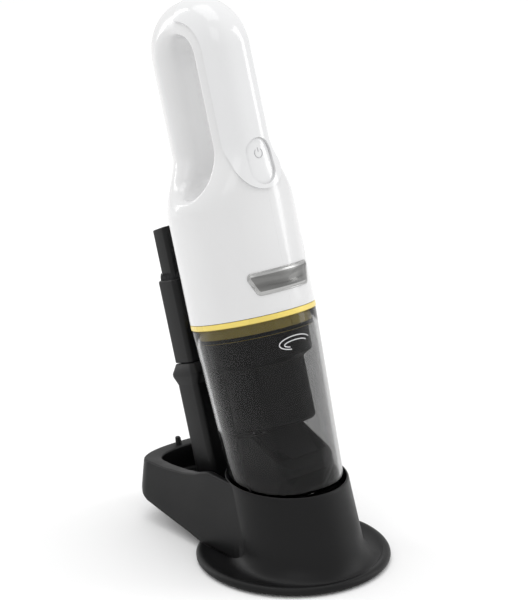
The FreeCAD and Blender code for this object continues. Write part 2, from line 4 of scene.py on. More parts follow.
import bmesh
import bpy
import numpy as np
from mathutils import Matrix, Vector


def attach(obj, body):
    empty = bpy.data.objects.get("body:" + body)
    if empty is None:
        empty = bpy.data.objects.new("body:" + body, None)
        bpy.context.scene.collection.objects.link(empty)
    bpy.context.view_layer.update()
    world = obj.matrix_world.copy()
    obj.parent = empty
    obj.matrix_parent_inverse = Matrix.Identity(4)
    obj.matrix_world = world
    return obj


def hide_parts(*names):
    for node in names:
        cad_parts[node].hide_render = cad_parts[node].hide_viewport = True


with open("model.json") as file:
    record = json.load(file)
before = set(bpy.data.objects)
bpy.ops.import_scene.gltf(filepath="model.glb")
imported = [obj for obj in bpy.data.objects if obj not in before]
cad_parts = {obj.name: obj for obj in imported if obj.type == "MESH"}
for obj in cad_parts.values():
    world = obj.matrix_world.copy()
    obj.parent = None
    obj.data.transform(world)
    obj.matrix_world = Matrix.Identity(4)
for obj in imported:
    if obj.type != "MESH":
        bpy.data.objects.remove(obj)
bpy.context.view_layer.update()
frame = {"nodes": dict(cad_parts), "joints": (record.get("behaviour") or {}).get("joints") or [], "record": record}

MM = 0.001


# ------------------------------------------------------------------ axes of the vacuum
def joint(name):
    """The frame's joint of that name."""
    return next(j for j in frame["joints"] if j["name"] == name)


UP = np.array(joint("rotor_spin")["axis"])
UP = UP / np.linalg.norm(UP)
ACROSS = np.array([1.0, 0.0, 0.0])
REAR = np.cross(UP, ACROSS)
LEAN = math.atan2(UP[1], UP[2])
FAN_HEIGHT = 20.0               # the rotor joint's place above the bin joint, mm
ORIGIN = np.array(joint("rotor_spin")["pos_m"]) - FAN_HEIGHT * MM * UP


def lean(points):
    """Points in the vacuum's own axes (x across, y to the rear, z along it, mm) to metres in the frame."""
    p = np.asarray(points, float) * MM
    return ORIGIN + p[..., :1] * ACROSS + p[..., 1:2] * REAR + p[..., 2:3] * UP


def stand_axes(points):
    """Points in the stand's axes (mm) to metres."""
    return np.asarray(points, float) * MM


# ------------------------------------------------------------------ driving sizes, mm
BODY_R = 35.5
BODY_FROM = 1.8
SHOULDER_FROM, SHOULDER_TO = 62.0, 96.0
DOME_FROM, HANDLE_TOP = 148.0, 178.0
HANDLE_HALF_X = 18.6
HANDLE_FRONT, HANDLE_REAR = 34.0, 30.6
WALL = 1.8
HOLE_FRONT, HOLE_REAR = -16.5, 8.0
HOLE_FROM, HOLE_TO = 70.0, 160.0
HOLE_R = (HOLE_REAR - HOLE_FRONT) / 2
HOLE_Y = (HOLE_REAR + HOLE_FRONT) / 2
PANEL_GAP = 4.5
PANEL_FROM = 69.0
PANEL_HALF = 15.0
BUTTON_HALF, BUTTON_FROM, BUTTON_TO = 8.5, 71.5, 97.0


# ------------------------------------------------------------------ mesh helpers
def add_object(name, mesh):
    """A new object with its data, linked to the scene."""
    obj = bpy.data.objects.new(name, mesh)
    bpy.context.scene.collection.objects.link(obj)
    return obj


def finish_mesh(obj, sharp=35.0):
    """Merges doubles, turns the faces outwards, and shades smooth except at edges sharper than sharp."""
    bm = bmesh.new()
    bm.from_mesh(obj.data)
    bmesh.ops.remove_doubles(bm, verts=bm.verts, dist=2e-6)
    bmesh.ops.dissolve_degenerate(bm, edges=bm.edges, dist=1e-7)
    bmesh.ops.recalc_face_normals(bm, faces=bm.faces)
    bm.to_mesh(obj.data)
    bm.free()
    shade(obj, sharp)
    return obj


def shade(obj, sharp=35.0):
    obj.data.polygons.foreach_set("use_smooth", np.ones(len(obj.data.polygons), bool))
    obj.data.set_sharp_from_angle(angle=math.radians(sharp))
    obj.data.update()


def piece(name, *grids, place=lean, sharp=35.0):
    """One mesh from grids of points, each given as (rows by columns by xyz, closed over rows, over columns).

    Four neighbours in a grid make a face; place turns the points into metres in the frame."""
    vertices, faces, start = [], [], 0
    for points, wrap_rows, wrap_cols in grids:
        rows, cols = points.shape[:2]
        r, c = np.meshgrid(np.arange(rows if wrap_rows else rows - 1),
                           np.arange(cols if wrap_cols else cols - 1), indexing="ij")
        r2, c2 = (r + 1) % rows, (c + 1) % cols
        quads = np.stack([r * cols + c, r * cols + c2, r2 * cols + c2, r2 * cols + c], -1)
        vertices.append(place(points.reshape(-1, 3)))
        faces.append(quads.reshape(-1, 4) + start)
        start += rows * cols
    mesh = bpy.data.meshes.new(name)
    mesh.from_pydata(np.concatenate(vertices).tolist(), [], np.concatenate(faces).tolist())
    return finish_mesh(add_object(name, mesh), sharp)


def circle(count, start=0.0):
    """Even angles round a full turn."""
    return start + np.arange(count) * 2 * math.pi / count


def rounded(corners, steps=6):
    """A closed outline with its corners rounded by tangent circles: corners are (a, b, radius)."""
    pts = np.array([c[:2] for c in corners], float)
    out = []
    n = len(pts)
    for i, corner in enumerate(corners):
        p, before, after = pts[i], pts[i - 1], pts[(i + 1) % n]
        r = corner[2]
        if r <= 0:
            out.append(p[None])
            continue
        d1, d2 = before - p, after - p
        l1, l2 = np.linalg.norm(d1), np.linalg.norm(d2)
        d1, d2 = d1 / l1, d2 / l2
        half = math.acos(np.clip(d1 @ d2, -1, 1)) / 2
        cut = min(r / math.tan(half), 0.49 * l1, 0.49 * l2)
        r = cut * math.tan(half)
        middle = (d1 + d2) / np.linalg.norm(d1 + d2)
        centre = p + middle * (r / math.sin(half))
        a1 = np.arctan2(*(p + d1 * cut - centre)[::-1])
        a2 = np.arctan2(*(p + d2 * cut - centre)[::-1])
        turn = (a2 - a1 + math.pi) % (2 * math.pi) - math.pi
        a = a1 + turn * np.linspace(0, 1, steps + 1)
        out.append(centre + r * np.stack([np.cos(a), np.sin(a)], 1))
    return np.concatenate(out)


def tube_rows(path, radius, sides=8, closed=False):
    """A round section carried along a path of points, drawn in to a point at open ends."""
    path = np.asarray(path, float)
    ahead = np.roll(path, -1, 0) - np.roll(path, 1, 0)
    if not closed:
        ahead[0], ahead[-1] = path[1] - path[0], path[-1] - path[-2]
    ahead = ahead / np.linalg.norm(ahead, axis=1, keepdims=True)
    ref = np.array([0.0, 0.0, 1.0]) if abs(ahead[0, 2]) < 0.9 else np.array([1.0, 0.0, 0.0])
    side = np.empty_like(path)
    s = np.cross(ahead[0], ref)
    for i, t in enumerate(ahead):
        s = s - t * (s @ t)
        s = s / np.linalg.norm(s)
        side[i] = s
    other = np.cross(ahead, side)
    a = circle(sides)
    ring = side[:, None] * np.cos(a)[None, :, None] + other[:, None] * np.sin(a)[None, :, None]
    points = path[:, None] + ring * radius
    if not closed:
        points = np.concatenate([np.broadcast_to(path[:1, None], points[:1].shape), points,
                                 np.broadcast_to(path[-1:, None], points[:1].shape)])
    return points


def cut_by(obj, cutter, operation="DIFFERENCE", sharp=30.0, keep=False):
    """Exact boolean, applied to the mesh; the cutter is removed."""
    mod = obj.modifiers.new("cut", "BOOLEAN")
    mod.operation = operation
    mod.solver = "EXACT"
    mod.object = cutter
    deps = bpy.context.evaluated_depsgraph_get()
    mesh = bpy.data.meshes.new_from_object(obj.evaluated_get(deps))
    obj.modifiers.remove(mod)
    obj.data = mesh
    if not keep:
        bpy.data.objects.remove(cutter)
    shade(obj, sharp)
    return obj


def smooth_step(v, low, high):
    t = np.clip((v - low) / (high - low), 0, 1)
    return t * t * (3 - 2 * t)


# ------------------------------------------------------------------ shape of the motor unit
def outline_at(z, inset=0.0):
    """Half width, half length, centre, narrowing and squareness of the level outline at height z.

    A circle blends into the handle's squarer oval over the shoulder, and a quarter ellipse ends the dome."""
    z = np.asarray(z, float)
    q = smooth_step(z, SHOULDER_FROM, SHOULDER_TO)
    half_x = BODY_R + (HANDLE_HALF_X - BODY_R) * q
    half_y = BODY_R + ((HANDLE_FRONT + HANDLE_REAR) / 2 - BODY_R) * q
    centre = (HANDLE_REAR - HANDLE_FRONT) / 2 * q
    narrow = -1.4 * q
    power = 2.0 + 0.6 * q
    t = np.clip((z - DOME_FROM) / (HANDLE_TOP - inset - DOME_FROM), 0, 1)
    shrink = np.sqrt(np.maximum(1 - t * t, 0))
    half_y = (half_y - inset) * shrink
    half_x = (half_x - inset) * shrink ** 0.8
    return half_x, half_y, centre * shrink, narrow * shrink, power


def skin(z, a, inset=0.0):
    """Point of the outside at height z and outline angle a, 0 at the front; inset also lowers the dome."""
    z = z - inset * np.clip((z - DOME_FROM) / (HANDLE_TOP - DOME_FROM), 0, 1)
    half_x, half_y, centre, narrow, power = outline_at(z, inset)
    ca, sa = np.cos(a), np.sin(a)
    x = np.sign(sa) * np.abs(sa) ** (2 / power) * (half_x + narrow * ca)
    y = centre - np.sign(ca) * np.abs(ca) ** (2 / power) * half_y
    return np.stack(np.broadcast_arrays(x, y, z), -1)


def half_width(y, z, inset=0.0):
    """Half width of the outside at a point of the side view."""
    half_x, half_y, centre, narrow, power = outline_at(z, inset)
    c = np.clip(np.abs((centre - y)) / np.maximum(half_y, 1e-6), 0, 1) ** (power / 2)
    s = np.sqrt(np.maximum(1 - c * c, 0))
    return s ** (2 / power) * (half_x + narrow * c * np.sign(centre - y))


def front_angle(x, z, inset=0.0):
    """Outline angle, on the front, where the outside is x from the middle, by halving the interval."""
    low, high = np.zeros_like(x), np.full_like(x, math.pi / 2)
    for _ in range(40):
        mid = (low + high) / 2
        wide = np.abs(skin(z, mid, inset)[..., 0]) < np.abs(x)
        low, high = np.where(wide, mid, low), np.where(wide, high, mid)
    return np.sign(x) * (low + high) / 2


def on_front(x, z, lift=0.0):
    """Points on the front of the outside, x from the middle at height z, lifted off it by lift."""
    x, z = np.broadcast_arrays(np.asarray(x, float), np.asarray(z, float))
    return skin(z, front_angle(x, z, -lift), -lift)


# ------------------------------------------------------------------ motor unit's shells
SEAM = 0.012                    # half the gap between the left and right shells, mm
CRISP_RIM = (2.2, 2.5)          # rounding of the finger hole's front rim: reach across, reach inwards
SOFT_RIM = (11.0, 12.0)         # and of its rear rim
LOW_CENTRE, HIGH_CENTRE = HOLE_FROM + HOLE_R, HOLE_TO - HOLE_R


def inside_outline(y, z, inset):
    """Whether a point of the side view lies inside the motor unit's outline."""
    _, half_y, centre, _, _ = outline_at(z, inset)
    return (z >= BODY_FROM) & (z < HANDLE_TOP - inset) & (np.abs(centre - y) < half_y)


def round_the_hole():
    """Rays round the finger hole: starts on the hole's middle line, directions, and softness of the rim.

    Up the front straight, over the top arc, down the rear straight and round the bottom arc, whose rays are
    crowded so that two of them meet the lower edge's front and rear corners."""
    straight, arc, low = 60, 72, 62
    up = np.linspace(LOW_CENTRE, HIGH_CENTRE, straight, endpoint=False)
    over = np.linspace(math.pi, 0, arc, endpoint=False)
    drop = BODY_FROM - LOW_CENTRE
    rear_corner = math.atan2(drop, BODY_R - HOLE_Y)
    front_corner = math.atan2(drop, -BODY_R - HOLE_Y)
    under = np.concatenate([np.linspace(0, rear_corner, low, endpoint=False),
                            np.linspace(rear_corner, front_corner, low, endpoint=False),
                            np.linspace(front_corner, -math.pi, low, endpoint=False)])
    angle = np.concatenate([np.full(straight, math.pi), over, np.zeros(straight), under])
    height = np.concatenate([up, np.full(arc, HIGH_CENTRE), up[::-1] + (up[1] - up[0]),
                             np.full(3 * low, LOW_CENTRE)])
    soft = np.concatenate([np.zeros(straight), smooth_step(1 - over / math.pi, 0.35, 1.0), np.ones(straight),
                           1 - smooth_step(-under / math.pi, 0.0, 0.42)])
    starts = np.stack([np.full(len(angle), HOLE_Y), height], 1)
    return starts, np.stack([np.cos(angle), np.sin(angle)], 1), soft


def ray_ends(starts, rays, inset):
    """Distance at which each ray leaves the side outline, by halving the interval."""
    near, far = np.full(len(rays), HOLE_R), np.full(len(rays), 140.0)
    for _ in range(50):
        mid = (near + far) / 2
        at = starts + rays * mid[:, None]
        ok = inside_outline(at[:, 0], at[:, 1], inset)
        near, far = np.where(ok, mid, near), np.where(ok, far, mid)
    return near


def shell_layer(starts, rays, soft, inset, tunnel, rim, outside):
    """One skin of a shell, from the middle of the finger hole's tunnel, over its rim, to the outline.

    The tunnel runs straight out to the rim; the rim is a quarter ellipse; then the skin follows the half
    width at growing distance from the hole, crowded towards the outline, where it turns in steeply."""
    first = HOLE_R + inset
    last = ray_ends(starts, rays, inset)
    across = CRISP_RIM[0] + (SOFT_RIM[0] - CRISP_RIM[0]) * soft
    deep = CRISP_RIM[1] + (SOFT_RIM[1] - CRISP_RIM[1]) * soft
    turn = np.linspace(0, math.pi / 2, rim)
    rim_r = first + across[:, None] * (1 - np.cos(turn))

    def width(r):
        at = starts[:, None] + rays[:, None] * r[..., None]
        return half_width(at[..., 0], at[..., 1], inset)

    rim_x = width(rim_r) - deep[:, None] * (1 - np.sin(turn))
    tunnel_x = rim_x[:, :1] * np.linspace(0, 1, tunnel, endpoint=False)
    along = np.linspace(0, 1, outside + 1)[1:]
    end = starts + rays * last[:, None]
    crowd = 2 - smooth_step(BODY_FROM + 14 - end[:, 1], 0, 12)
    share = 1 - (1 - along[None]) ** crowd[:, None]
    skin_r = rim_r[:, -1:] + (last[:, None] - rim_r[:, -1:]) * share
    skin_x = width(skin_r)
    r = np.concatenate([np.full_like(tunnel_x, first), rim_r, skin_r], 1)
    x = np.concatenate([tunnel_x, rim_x, skin_x], 1)
    at = starts[:, None] + rays[:, None] * r[..., None]
    return np.stack([np.maximum(x, 0), at[..., 0], at[..., 1]], -1)


def shell(name, side):
    """Left or right shell: the outer layer out and the inner layer back, closed both ways round."""
    starts, rays, soft = round_the_hole()
    outer = shell_layer(starts, rays, soft, 0.0, 8, 12, 54)
    inner = shell_layer(starts, rays, soft, WALL, 4, 5, 24)
    points = np.concatenate([outer, inner[:, ::-1]], 1)
    points[..., 0] = side * (points[..., 0] + SEAM)
    return piece(name, (points, True, True), sharp=40)


# ------------------------------------------------------------------ grip cover, button and plate
def cover_edge(z, grow=0.0):
    """Outline angle of the grip cover's edge at height z.

    The lesser of two: where the front is half a panel from the middle, rounded at the lower end, and where
    the side view meets a line kept at PANEL_GAP round the finger hole."""
    half = PANEL_HALF + grow
    low = PANEL_FROM + PANEL_HALF
    reach = np.sqrt(np.maximum(half ** 2 - np.maximum(low - z, 0) ** 2, 0))
    by_width = np.abs(front_angle(np.minimum(reach, 60.0), z))
    r = HOLE_R + PANEL_GAP - grow
    away = np.maximum(np.maximum(z - HIGH_CENTRE, LOW_CENTRE - z), 0)
    y_edge = HOLE_Y - np.sqrt(np.maximum(r * r - away * away, 0))
    _, half_y, centre, _, power = outline_at(z)
    share = np.clip((centre - y_edge) / np.maximum(half_y, 1e-6), 0, 1)
    return np.minimum(by_width, np.arccos(share ** (power / 2)))


def cover_patch(grow, lift_out, lift_in, rounding=0.0):
    """Closed patch of the front skin between the cover's edges: outer layer, then inner layer back.

    Rows crowd towards both ends, and the outer layer sinks by a quarter circle along its edge."""
    rows, cols = 130, 46
    tops = np.linspace(DOME_FROM, HANDLE_TOP, 4001)
    _, half_y, centre, _, _ = outline_at(tops)
    z_end = tops[np.argmax(centre - half_y > HOLE_Y + grow)] - 0.002
    z_start = PANEL_FROM - grow + 0.002
    z = z_start + (z_end - z_start) * (1 - np.cos(np.linspace(0, math.pi, rows))) / 2
    edge = cover_edge(z, grow)
    inner_cols = np.linspace(-1, 1, cols)
    local_r = np.linalg.norm(skin(z, edge)[:, :2], axis=1) + 4
    reach = np.minimum(rounding / local_r / np.maximum(edge, 1e-6), 0.3)
    steps = np.array([0.0, 0.04, 0.15, 0.35, 0.65, 1.0])
    left = -1 + reach[:, None] * steps
    a = np.concatenate([left[:, :-1], inner_cols * (1 - reach[:, None]), -left[:, :-1][:, ::-1]], 1)
    a = a * edge[:, None]
    zz = np.broadcast_to(z[:, None], a.shape)
    flat = skin(zz, a)
    low = PANEL_FROM + PANEL_HALF
    from_sides = PANEL_HALF - np.hypot(flat[..., 0], np.maximum(low - zz, 0))
    away = np.maximum(np.maximum(zz - HIGH_CENTRE, LOW_CENTRE - zz), 0)
    from_hole = np.hypot(flat[..., 1] - HOLE_Y, away) - HOLE_R - PANEL_GAP
    from_hole = np.where(zz > HIGH_CENTRE + HOLE_R, HOLE_Y - flat[..., 1], from_hole)
    near = np.clip(1 - np.minimum(from_sides, from_hole) / max(rounding, 1e-6), 0, 1)
    sink = rounding * (1 - np.sqrt(np.maximum(1 - near * near, 0)))
    outer = skin(zz, a, sink - lift_out)
    inner = skin(zz, a, -lift_in)
    return np.concatenate([outer, inner[:, ::-1]], 1)


def capsule_rays(count=96):
    """Directions round a capsule standing along z, and the heights of the half circles' centres."""
    a = circle(count, math.pi / count)
    rays = np.stack([np.sin(a), np.cos(a)], 1)
    start = np.where(rays[:, 1] > 0, BUTTON_TO - BUTTON_HALF, BUTTON_FROM + BUTTON_HALF)
    return start, rays


def capsule_patch(profile, surface):
    """A capsule patch on a surface: profile is (distance from the middle line, lift), out to the edge."""
    start, rays = capsule_rays()
    profile = np.asarray(profile, float)
    x = rays[None, :, 0] * profile[:, None, 0]
    z = start[None] + rays[None, :, 1] * profile[:, None, 0]
    return surface(x, z, np.broadcast_to(profile[:, None, 1], x.shape))


def edge_profile(half, lift, rounding, depth, steps=6):
    """Middle, flat top, quarter-round edge of the given rounding, side and back of a button."""
    turn = np.linspace(0, math.pi / 2, steps)
    top = [(0.0, lift), (half * 0.4, lift), (half * 0.75, lift)]
    edge = [(half - rounding * (1 - math.sin(t)), lift - rounding * (1 - math.cos(t))) for t in turn]
    return top + edge + [(half, -depth), (0.0, -depth)]


def prism(outline, low, high, axis):
    """A closed outline carried along an axis from low to high, with its ends drawn to their middles."""
    outline = np.asarray(outline, float)
    middle = np.broadcast_to(outline.mean(0), outline.shape)
    rings = np.stack([middle, outline, outline, middle])
    along = np.broadcast_to(np.array([low, low, high, high])[:, None], rings.shape[:2])
    order = {0: (2, 0, 1), 1: (0, 2, 1), 2: (0, 1, 2)}[axis]
    return np.concatenate([rings, along[..., None]], -1)[..., list(order)]


def badge_point(arc, z, lift):
    """A point of the round body at a distance along its girth from the front."""
    a = arc / BODY_R
    r = BODY_R + lift
    return np.stack(np.broadcast_arrays(r * np.sin(a), -r * np.cos(a), z), -1)


def badge_outline():
    """A trapezoid with rounded corners as fine points, and the way inwards at each of them."""
    low, high = 12.5, 25.6
    outline = rounded([(-18.3, low, 3.4), (18.3, low, 3.4), (24.4, high, 3.0), (-24.4, high, 3.0)], 8)
    fine = []
    for p, q in zip(outline, np.roll(outline, -1, 0)):
        steps = max(int(np.linalg.norm(q - p) / 1.2), 1)
        fine.append(p + (q - p) * (np.arange(steps) / steps)[:, None])
    outline = np.concatenate(fine)
    ahead = np.roll(outline, -1, 0) - np.roll(outline, 1, 0)
    return outline, np.stack([-ahead[:, 1], ahead[:, 0]], 1) / np.linalg.norm(ahead, axis=1, keepdims=True)


def badge_sheet(steps):
    """Rings of the badge's outline, each scaled to a share about its middle, inset and lifted."""
    outline, inward = badge_outline()
    middle = outline.mean(0)
    rows = np.stack([middle + (outline + inward * inset - middle) * share for share, inset, _ in steps])
    return badge_point(rows[..., 0], rows[..., 1], np.array([step[2] for step in steps])[:, None])


def badge_rows():
    """Flat field, groove, raised rim and side, drawn in to the middle in front and behind."""
    return badge_sheet([(0.0, 2.0, 0.32), (0.35, 2.0, 0.32), (0.7, 2.0, 0.32), (1, 1.25, 0.32), (1, 1.1, 0.2),
                        (1, 0.95, 0.2), (1, 0.8, 0.42), (1, 0.6, 0.5), (1, 0.3, 0.5), (1, 0.08, 0.42),
                        (1, 0.0, 0.25), (1, 0.0, -0.4), (0.0, 0.0, -0.4)])


def badge_field_rows():
    """Thin darker plate let into the field."""
    return badge_sheet([(0.0, 2.0, 0.38), (0.35, 2.0, 0.38), (0.7, 2.0, 0.38), (1, 2.3, 0.38), (1, 2.2, 0.34),
                        (1, 2.2, 0.2), (0.0, 2.0, 0.2)])


# ------------------------------------------------------------------ bin, its ring and the turned parts
BIN_TOP_R, BIN_LOW_R = 35.2, 31.4
BIN_RIM, BIN_FLOOR = -1.8, -105.5
BIN_ROUND, BIN_WALL = 9.0, 2.0
SPOUT_HALF_X, SPOUT_HALF_Y = 18.0, 10.5


def rounded_rect(half_x, half_y, corner, steps=6, mid_y=0.0):
    """Rectangle with arc corners, always with the same count of points."""
    a = np.linspace(0, math.pi / 2, steps + 1)
    out = []
    for k, (sx, sy) in enumerate(((1, 1), (-1, 1), (-1, -1), (1, -1))):
        t = a + k * math.pi / 2
        out.append(np.stack([sx * (half_x - corner) + corner * np.cos(t),
                             mid_y + sy * (half_y - corner) + corner * np.sin(t)], 1))
    return np.concatenate(out)


def polar_reach(outline, angles):
    """Distance from the middle to a closed outline along each angle."""
    own = np.arctan2(outline[:, 0], -outline[:, 1])
    order = np.argsort(own)
    own, r = own[order], np.linalg.norm(outline, axis=1)[order]
    wrapped = (angles + math.pi) % (2 * math.pi) - math.pi
    return np.interp(wrapped, own, r, period=2 * math.pi)


def bin_rows(count=160):
    """Outer wall down, rounded floor in to the spout's opening, and the inner wall back up to the rim."""
    a = circle(count)
    opening = rounded_rect(SPOUT_HALF_X, SPOUT_HALF_Y, 5.0, 24)
    hole = polar_reach(opening, a)
    rows = []

    def wall(inset, top):
        taper = np.linspace(0, 1, 12)
        low_z = BIN_FLOOR + BIN_ROUND
        r = BIN_TOP_R - inset + (BIN_LOW_R - BIN_TOP_R) * taper
        z = top + (low_z - top) * taper
        turn = np.linspace(0, math.pi / 2, 10)[1:]
        corner = BIN_ROUND - inset
        r = np.concatenate([r, BIN_LOW_R - inset - corner * (1 - np.cos(turn))])
        z = np.concatenate([z, low_z - corner * np.sin(turn)])
        layer = [(np.full(count, p), q) for p, q in zip(r, z)]
        for t in (0.35, 0.7, 1.0):
            layer.append((r[-1] * (1 - t) + hole * t, z[-1]))
        return layer

    rows += [(np.full(count, BIN_TOP_R - 0.12), BIN_RIM - 0.12)] + wall(0.0, BIN_RIM - 0.5)
    rows += wall(BIN_WALL, BIN_RIM - 0.5)[::-1]
    rows += [(np.full(count, BIN_TOP_R - BIN_WALL + 0.15), BIN_RIM - 0.1)]
    return np.stack([np.stack([r * np.sin(a), -r * np.cos(a), np.full(count, z)], -1) for r, z in rows])


def block(x, y, z, radius, turn=0.0):
    """A box with rounded edges, between pairs of limits, turned about the z axis."""
    half_x, half_y = (x[1] - x[0]) / 2, (y[1] - y[0]) / 2
    rise = np.linspace(0, math.pi / 2, 5)
    inset = radius * (1 - np.sin(rise))
    lift = radius * (1 - np.cos(rise))
    insets = np.concatenate([[0], inset, inset[::-1], [0]])
    heights = np.concatenate([[z[0]], z[0] + lift, z[1] - lift[::-1], [z[1]]])
    rows = []
    for i, (e, h) in enumerate(zip(insets, heights)):
        k = 0.001 if i in (0, len(insets) - 1) else 1.0
        ring = rounded_rect((half_x - e) * k, (half_y - e) * k, max(radius - e, 0.02) * k, 4)
        rows.append(np.column_stack([ring[:, 0] + sum(x) / 2, ring[:, 1] + sum(y) / 2,
                                     np.full(len(ring), h)]))
    points = np.stack(rows)
    points[0] = points[0].mean(0)
    points[-1] = points[-1].mean(0)
    c, s = math.cos(turn), math.sin(turn)
    return np.stack([points[..., 0] * c - points[..., 1] * s, points[..., 0] * s + points[..., 1] * c,
                     points[..., 2]], -1)


def turned_rows(corners, count=128, steps=5):
    """A closed outline of (radius, height, corner radius) turned round the vacuum's axis."""
    outline = rounded(corners, steps)
    a = circle(count)[:, None]
    return np.stack([outline[None, :, 0] * np.sin(a), -outline[None, :, 0] * np.cos(a),
                     np.broadcast_to(outline[None, :, 1], (count, len(outline)))], -1)


# ------------------------------------------------------------------ stand
FOOT_Y = -9.85
TAN_LEAN = math.tan(LEAN)
COS_LEAN = math.cos(LEAN)
SEAT = -105.9
CUP_RIM = 48.5
CUP_BORE_R = 32.6


def level_round(r, z, a):
    """Level cut at height z of a leaning round bar of radius r, at its angle a."""
    return np.stack([r * np.sin(a), FOOT_Y + z * TAN_LEAN - r * np.cos(a) / COS_LEAN, np.full_like(a, z)], -1)


def cup_radius(z):
    """The cup narrows a little from its foot to its rim."""
    return 35.1 - 0.023 * z


def cup_rows(count=224):
    """Rings from the underside over the rolled flange edge, dish, fillet, cup wall and rim into the bore."""
    a = circle(count)
    flat = np.stack([np.sin(a), -np.cos(a), np.zeros(count)], -1)
    rows = [flat * 0.0 + (0, 0, 4.0), flat * 36.2 + (0, 0, 4.0), flat * 36.2 + (0, 0, 1.0)]
    for r, z in ((53.2, 1.0), (54.2, 1.25), (54.85, 1.9), (55.0, 2.7), (54.85, 3.5), (54.35, 4.3),
                 (53.6, 4.95), (52.7, 5.3), (51.7, 5.35), (50.6, 5.1)):
        rows.append(flat * r + (0, 0, z))
    dish, fillet, fillet_up, flange_in = 3.9, 7.5, 9.4, 49.0
    wall = level_round(cup_radius(dish), dish, a)
    out = np.stack([np.sin(a), -np.cos(a) / COS_LEAN], 1)
    square, cross = (out ** 2).sum(1), (out * wall[:, :2]).sum(1)
    short = (wall[:, :2] ** 2).sum(1) - flange_in ** 2
    room = np.minimum((np.sqrt(cross ** 2 - square * short) - cross) / square, fillet)[:, None]
    foot = wall + np.column_stack([out * room, np.zeros(count)])
    edge = rows[-1]
    for t in (0.2, 0.4, 0.6, 0.8, 1.0):
        row = edge * (1 - t) + foot * t
        row[:, 2] = dish + (edge[:, 2] - dish) * (1 - t) ** 2
        rows.append(row)
    for t in np.linspace(0, math.pi / 2, 10)[1:]:
        z = dish + fillet_up * (1 - math.cos(t))
        row = level_round(cup_radius(z), z, a)
        row[:, :2] += out * room * (1 - math.sin(t))
        rows.append(row)
    top = dish + fillet_up
    for z in np.linspace(top, CUP_RIM - 1.0, 12)[1:]:
        rows.append(level_round(cup_radius(z), z, a))
    middle_r, half = (cup_radius(CUP_RIM) + CUP_BORE_R) / 2, (cup_radius(CUP_RIM) - CUP_BORE_R) / 2
    for t in np.linspace(0, math.pi, 9)[1:]:
        rows.append(level_round(middle_r + half * math.cos(t), CUP_RIM - 1.0 + math.sin(t), a))
    bore = lean(np.stack([CUP_BORE_R * np.sin(a), -CUP_BORE_R * np.cos(a), np.full(count, SEAT)], -1)) / MM
    start = rows[-1]
    for t in (0.3, 0.65, 1.0):
        rows.append(start * (1 - t) + bore * t)
    well = rounded_rect(20.5, 13.0, 5.0, 24)
    reach = polar_reach(well, a)
    for s, k in ((SEAT, 1.0), (-130.5, 1.0), (-130.5, 0.0)):
        level = np.stack([reach * k * np.sin(a), -reach * k * np.cos(a), np.full(count, s)], -1)
        rows.append(lean(level) / MM)
    return np.stack(rows)


PEG_Y = 102.8
HOLDER_OUTSIDE = (34.4, 34.6, 92.0, 109.8)      # half width at the cup, at the end, end corner, apex
HOLDER_INSIDE = (32.0, 26.8, 86.0, 101.0)
UNDER_LINE = ((-40, 4.3), (34, 4.3), (37, 3.6), (43, 4.4), (50, 6.2), (92, 13.2), (97, 15.4),
              (100.5, 19.0), (112, 20.2))
RIM_LINE = ((-40, 48.2), (36, 48.2), (43, 46.0), (50, 43.2), (61, 40.4), (80, 37.6), (112, 36.0))
FLOOR_LINE = ((-40, 7.0), (44, 8.0), (90, 16.0), (97, 20.0), (112, 22.0))


def along_line(line, y):
    """Height of a line of (y, height) corners at y."""
    corners = np.array(line, float)
    return np.interp(y, corners[:, 0], corners[:, 1])


def keyhole(sizes, z, count, start=0.0):
    """Holder outline at height z: a side from the cup to the end's corner, then a superellipse end."""
    near, side, corner_y, apex = sizes
    near, side, apex = near - 0.02 * z, side - 0.1 * z, apex - 0.06 * z
    t = np.linspace(0, 1, count, endpoint=False)
    start_y = FOOT_Y + z * TAN_LEAN + start
    wall = np.stack([near + (side - near) * t, start_y + (corner_y - start_y) * t], 1)
    a = np.linspace(0, math.pi / 2, count + 1)
    power = 2.45
    end = np.stack([side * np.cos(a) ** (2 / power),
                    corner_y + (apex - corner_y) * np.sin(a) ** (2 / power)], 1)
    half = np.concatenate([wall, end])
    return np.concatenate([half, (half * (-1, 1))[-2::-1]])


